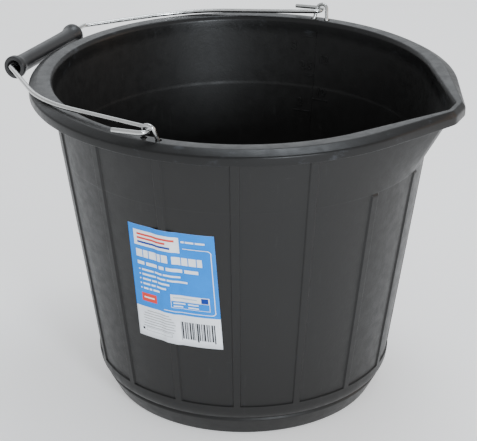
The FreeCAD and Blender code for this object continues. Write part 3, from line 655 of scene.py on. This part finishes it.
def make_label(paint):
    """The sheet with its edges, and a generic print: plain bars, a frame line and a stripe code."""
    width = (LABEL_RIGHT - LABEL_LEFT) / MM
    height = (LABEL_HIGH - LABEL_LOW) / MM
    base = 0.30 * MM
    ink = base + 0.035 * MM
    over = base + 0.06 * MM
    split = 0.275 * height
    sheet = label_patch("sheet", 0, width, 0, height, base, paint["white"])
    thick = sheet.modifiers.new("thick", "SOLIDIFY")
    thick.thickness = 0.24 * MM
    thick.offset = -1
    apply_modifiers(sheet)
    prints = [sheet]

    def block(x0, x1, y0, y1, colour, lift=over):
        """A printed bar; the layout's widths are stretched a little to fill the sheet."""
        x0, x1 = 0.7 + 1.05 * x0, 0.7 + 1.05 * x1
        prints.append(label_patch("print", x0, x1, y0, y1, lift, paint[colour]))

    prints.append(label_patch("ground", 0, width, split, height, ink, paint["blue"]))
    # a plain panel with three lines on it
    block(3.6, 41.0, 84.0, 97.6, "white", ink + 0.015 * MM)
    for x, bar, y, colour in ((6.4, 31.0, 93.2, "red"), (6.4, 24.0, 89.8, "red"), (6.4, 27.5, 86.2, "navy")):
        block(x, x + bar, y, y + 1.8, colour)
    # title and text lines, as bars
    x = 4.4
    for bar in (7.0, 5.4, 8.2, 3.6, 6.4, 0, 8.4, 6.0, 7.2, 4.8):
        if bar:
            block(x, x + bar * 0.78, 73.6, 80.4, "white")
            x += bar * 0.78 + 0.75
        else:
            x += 2.4
    x = 4.8
    for bar in (6.0, 9.5, 4.2, 12.5, 10.5):
        block(x, x + bar, 66.8, 69.8, "white")
        x += bar + 1.6
    for number, length in enumerate((33, 38, 24, 21, 15)):
        y = 61.6 - 4.25 * number
        block(5.4, 6.6, y + 0.2, y + 1.4, "white")
        x = 8.0
        for part in (0.34, 0.22, 0.44):
            block(x, x + length * part - 1.0, y, y + 1.7, "white")
            x += length * part
    # frame line
    block(43.5, 61.4, 88.2, 88.8, "white")
    block(64.0, 64.6, 33.6, 85.6, "white")
    for step in range(6):
        turn = step * math.pi / 12
        cx, cy = 61.4 + 3.0 * math.sin(turn + 0.13), 85.6 + 3.0 * math.cos(turn + 0.13)
        block(cx - 0.3, cx + 0.45, cy - 0.45, cy + 0.3, "white", over + 0.005 * MM)
        cy = 33.6 - 3.0 * math.cos(turn + 0.13)
        block(cx - 0.3, cx + 0.45, cy - 0.3, cy + 0.45, "white", over + 0.005 * MM)
    block(24.5, 61.4, 30.3, 30.9, "white")
    # a short line of text at the top right
    for x, bar in ((42.6, 2.4), (45.8, 6.4), (53.2, 7.2)):
        block(x, x + bar, 93.6, 95.2, "white")
    # plain mark
    block(5.6, 18.6, 33.4, 41.0, "red")
    block(7.6, 16.6, 36.6, 37.8, "white", over + 0.02 * MM)
    # table
    block(31.0, 60.5, 40.6, 46.2, "white")
    for y in (40.4, 34.0):
        block(31.0, 60.5, y, y + 0.4, "white")
    for x in (31.0, 60.1):
        block(x, x + 0.4, 34.0, 46.0, "white")
    block(54.2, 59.6, 40.9, 45.6, "navy", over + 0.02 * MM)
    block(33, 51, 43, 44.1, "pale", over + 0.02 * MM)
    for x, y, bar in ((33, 38, 9), (44, 38, 8), (33, 35.2, 7), (44, 35.2, 8)):
        block(x, x + bar, y, y + 1.2, "white")
    # small print
    for number, (x, bar) in enumerate(((9, 19), (6, 24), (5, 27), (5, 28), (5.6, 26), (4.6, 28), (4.2, 27))):
        block(x, x + bar, 24.4 - 2.45 * number, 25.0 - 2.45 * number, "grey")
    for y in (5.6, 8.6):
        block(6.5, 29.5, y, y + 0.3, "grey")
    for x in (6.5, 29.2):
        block(x, x + 0.3, 5.6, 8.9, "grey")
    block(3.2, 5.0, 6.0, 8.2, "black")
    # stripe code: widths follow a fixed rule, and stand for no number
    x = 37.0
    number = 0
    while x < 62.2:
        bar = 0.32 + 0.3 * ((number * 7) % 4)
        block(x, x + bar, 6.2 if number % 9 else 4.6, 22.0, "black")
        x += bar + 0.34 + 0.28 * ((number * 5) % 3)
        number += 1
    return join("label_sheet", prints)


# ---------------------------------------------------------------- materials

class Nodes:
    """A short way to write a node material."""

    def __init__(self, name):
        self.material = bpy.data.materials.new(name)
        self.material.use_nodes = True
        self.tree = self.material.node_tree
        self.shader = self.tree.nodes["Principled BSDF"]
        self.place = self.add("ShaderNodeTexCoord").outputs["Object"]

    def add(self, kind, **settings):
        node = self.tree.nodes.new(kind)
        for key, value in settings.items():
            setattr(node, key, value)
        return node

    def link(self, value, socket):
        if hasattr(value, "default_value") or hasattr(value, "is_linked"):
            self.tree.links.new(value, socket)
        else:
            socket.default_value = value

    def set(self, name, value):
        self.link(value, self.shader.inputs[name])

    def stretched(self, x, y, z):
        node = self.add("ShaderNodeMapping")
        node.inputs["Scale"].default_value = (x, y, z)
        self.link(self.place, node.inputs["Vector"])
        return node.outputs["Vector"]

    def noise(self, scale, detail=3.0, rough=0.55, vector=None, distortion=0.0):
        node = self.add("ShaderNodeTexNoise")
        node.inputs["Scale"].default_value = scale
        node.inputs["Detail"].default_value = detail
        node.inputs["Roughness"].default_value = rough
        node.inputs["Distortion"].default_value = distortion
        self.link(vector if vector is not None else self.place, node.inputs["Vector"])
        return node.outputs["Fac"]

    def ramp(self, value, low, high, out_low=0.0, out_high=1.0):
        node = self.add("ShaderNodeMapRange", interpolation_type="SMOOTHSTEP")
        self.link(value, node.inputs["Value"])
        limits = {"From Min": low, "From Max": high, "To Min": out_low, "To Max": out_high}
        for socket, number in limits.items():
            node.inputs[socket].default_value = number
        return node.outputs["Result"]

    def math(self, operation, a, b=0.0):
        node = self.add("ShaderNodeMath", operation=operation)
        self.link(a, node.inputs[0])
        self.link(b, node.inputs[1])
        return node.outputs[0]

    def mix(self, share, a, b):
        node = self.add("ShaderNodeMix", data_type="RGBA")
        self.link(share, node.inputs[0])
        self.link(a, node.inputs[6])
        self.link(b, node.inputs[7])
        return node.outputs[2]

    def bump(self, height, distance, strength=1.0, onto=None):
        node = self.add("ShaderNodeBump")
        node.inputs["Strength"].default_value = strength
        node.inputs["Distance"].default_value = distance
        self.link(height, node.inputs["Height"])
        if onto is not None:
            self.link(onto, node.inputs["Normal"])
        return node.outputs["Normal"]


def grey(value):
    return (value, value, value, 1)


def tub_plastic():
    n = Nodes("moulded_plastic")
    height = n.add("ShaderNodeSeparateXYZ")
    n.link(n.place, height.inputs[0])
    rim = n.ramp(height.outputs[2], 0.250, 0.257)
    cloud = n.noise(9, 4, 0.6)
    mottle = n.noise(130, 4, 0.6)
    grain = n.noise(1500, 2, 0.5)
    pits = n.noise(420, 3, 0.6)
    drag = n.ramp(n.noise(26, 5, 0.65, n.stretched(9, 9, 0.5)), 0.60, 0.76)
    rub = n.ramp(n.noise(60, 6, 0.7, n.stretched(1, 1, 7)), 0.64, 0.76)
    base = n.mix(cloud, (0.0068, 0.0066, 0.0064, 1), (0.0115, 0.0112, 0.0109, 1))
    base = n.mix(n.math("MULTIPLY", mottle, 0.5), base, (0.015, 0.0147, 0.0143, 1))
    base = n.mix(n.math("MULTIPLY", drag, 0.20), base, grey(0.055))
    # Painted shade: the rim from 250 mm up is made darker, standing in for the dark surroundings its smooth
    # skirt reflects.
    base = n.mix(n.math("MULTIPLY", rim, 0.85), base, grey(0.004))
    base = n.mix(n.math("MULTIPLY", rub, 0.22), base, grey(0.07))
    scuff = n.math("MULTIPLY", n.ramp(n.noise(48, 7, 0.78, n.stretched(1, 1, 1.6)), 0.56, 0.70), rim)
    base = n.mix(n.math("MULTIPLY", scuff, 0.45), base, (0.055, 0.060, 0.070, 1))
    n.set("Base Color", base)
    rough = n.math("ADD", n.ramp(mottle, 0.3, 0.7, 0.40, 0.50), n.math("MULTIPLY", drag, 0.10))
    rough = n.math("SUBTRACT", rough, n.math("MULTIPLY", rim, 0.10))
    n.set("Roughness", n.math("SUBTRACT", rough, n.math("MULTIPLY", rub, 0.08)))
    n.set("Specular IOR Level", 0.30)
    coarse = n.bump(pits, 0.00009, 0.7)
    n.set("Normal", n.bump(grain, 0.00007, 0.6, coarse))
    return n.material


def zinc(name, bright):
    n = Nodes(name)
    cloud = n.noise(240, 4, 0.6)
    draw = n.noise(1400, 3, 0.6)
    dull = n.ramp(n.noise(90, 5, 0.7), 0.52, 0.70)
    dark = tuple(bright * part for part in (0.56, 0.57, 0.57)) + (1,)
    light = tuple(bright * part for part in (0.80, 0.80, 0.78)) + (1,)
    base = n.mix(cloud, dark, light)
    base = n.mix(n.math("MULTIPLY", dull, 0.35), base, (0.38, 0.38, 0.37, 1))
    n.set("Base Color", base)
    n.set("Metallic", 1.0)
    n.set("Roughness", n.math("ADD", n.ramp(cloud, 0.3, 0.7, 0.14, 0.26), n.math("MULTIPLY", dull, 0.16)))
    n.set("Normal", n.bump(draw, 0.00003, 0.5))
    return n.material


def grip_plastic():
    n = Nodes("grip_plastic")
    cloud = n.noise(60, 4, 0.6)
    grain = n.noise(1900, 2, 0.5)
    scuff = n.ramp(n.noise(150, 6, 0.7, n.stretched(1, 0.25, 1)), 0.62, 0.76)
    base = n.mix(cloud, (0.010, 0.010, 0.011, 1), (0.017, 0.017, 0.018, 1))
    n.set("Base Color", n.mix(n.math("MULTIPLY", scuff, 0.3), base, grey(0.06)))
    n.set("Roughness", n.math("ADD", n.ramp(cloud, 0.3, 0.7, 0.34, 0.44), n.math("MULTIPLY", scuff, 0.12)))
    n.set("Normal", n.bump(grain, 0.00004, 0.5))
    return n.material


def film(name, colour):
    n = Nodes(name)
    cloud = n.noise(70, 4, 0.6)
    speck = n.noise(1600, 2, 0.5)
    dark = tuple(c * 0.90 for c in colour) + (1,)
    n.set("Base Color", n.mix(n.ramp(cloud, 0.3, 0.7), dark, tuple(colour) + (1,)))
    n.set("Roughness", n.ramp(speck, 0.3, 0.7, 0.29, 0.39))
    n.set("Specular IOR Level", 0.10)
    n.set("Normal", n.bump(cloud, 0.00012, 0.35))
    return n.material


# ---------------------------------------------------------------- build the pieces

plastic = tub_plastic()
tub = make_tub()
tub.data.materials.clear()
tub.data.materials.append(plastic)
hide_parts("bucket_tub")
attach(tub, "bucket")

scale = make_scale()
scale.data.materials.clear()
scale.data.materials.append(plastic)
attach(scale, "bucket")

ear_zinc = zinc("ear_zinc", 0.74)
for name, side, node in (("ear_left", 1, "left_ear_staple"), ("ear_right", -1, "right_ear_staple")):
    ear = make_ear(name, side)
    ear.data.materials.append(ear_zinc)
    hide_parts(node)
    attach(ear, "bucket")

bail = make_bail()
bail.data.materials.append(zinc("bail_zinc", 0.74))
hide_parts("bail_wire")
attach(bail, "bail")

grip = make_grip()
grip.data.materials.append(grip_plastic())
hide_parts("carry_grip")
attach(grip, "grip")

paints = {
    "white": film("film_white", (0.86, 0.90, 0.95)),
    "blue": film("film_blue", (0.0, 0.235, 0.80)),
    "red": film("film_red", (0.72, 0.055, 0.04)),
    "navy": film("film_navy", (0.012, 0.045, 0.30)),
    "pale": film("film_pale", (0.45, 0.58, 0.72)),
    "grey": film("film_grey", (0.30, 0.31, 0.33)),
    "black": film("film_black", (0.03, 0.03, 0.035)),
}
label = make_label(paints)
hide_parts("product_label")
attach(label, "bucket")

# ---------------------------------------------------------------- floor, light and camera

floor_mesh = bpy.data.meshes.new("floor")
floor_mesh.from_pydata([(-6, -6, 0), (6, -6, 0), (6, 6, 0), (-6, 6, 0)], [], [(0, 1, 2, 3)])
floor = bpy.data.objects.new("floor", floor_mesh)
bpy.context.scene.collection.objects.link(floor)
ground = Nodes("floor_paint")
ground.set("Base Color", ground.mix(ground.noise(3, 3), grey(0.90), grey(0.93)))
ground.set("Roughness", 0.9)
ground.set("Emission Color", grey(1.0))
ground.set("Emission Strength", 0.40)
floor.data.materials.append(ground.material)
floor.location.z = -0.0002

world = bpy.data.worlds.new("studio")
bpy.context.scene.world = world
world.use_nodes = True
sky = world.node_tree.nodes["Background"]
sky.inputs["Color"].default_value = (0.96, 0.98, 1.0, 1)
sky.inputs["Strength"].default_value = 0.85


def area_light(name, place, target, size, power, colour):
    data = bpy.data.lights.new(name, "AREA")
    data.shape = "RECTANGLE"
    data.size, data.size_y = size
    data.energy = power
    data.color = colour
    light = bpy.data.objects.new(name, data)
    light.location = place
    light.rotation_euler = (Vector(target) - Vector(place)).to_track_quat("-Z", "Y").to_euler()
    bpy.context.scene.collection.objects.link(light)
    return light


TURN = math.radians(25.0)


def seen(right, away, up):
    """A place given as right of, beyond and above the object, as the camera faces it."""
    return (
        right * math.cos(TURN) - away * math.sin(TURN),
        right * math.sin(TURN) + away * math.cos(TURN),
        up,
    )


area_light("back", seen(-0.5, 2.6, 1.5), seen(0, 0, 0.25), (3.0, 1.4), 14, (0.90, 0.95, 1.0))
area_light("top", seen(0.25, 0.35, 1.9), seen(0, 0, 0.25), (0.9, 0.5), 14, (0.86, 0.93, 1.0))
area_light("front", seen(0.85, -1.95, 0.78), seen(0, 0, 0.24), (0.45, 0.4), 30, (0.88, 0.94, 1.0))
area_light("warm", seen(1.6, 0.1, 0.6), seen(0, 0, 0.15), (0.5, 1.0), 3, (1.0, 0.66, 0.42))

camera_data = bpy.data.cameras.new("camera")
camera_data.sensor_width = 36.0
camera_data.lens = 130.9
camera_data.shift_x = -0.0108
camera = bpy.data.objects.new("camera", camera_data)
ELEVATION, DISTANCE, AIM = math.radians(24.07), 1.432, Vector((0, 0, 0.1378))
offset = Vector((
    math.sin(TURN) * math.cos(ELEVATION),
    -math.cos(TURN) * math.cos(ELEVATION),
    math.sin(ELEVATION),
))
camera.location = AIM + offset * DISTANCE
camera.rotation_euler = (-offset).to_track_quat("-Z", "Y").to_euler()
bpy.context.scene.collection.objects.link(camera)
bpy.context.scene.camera = camera
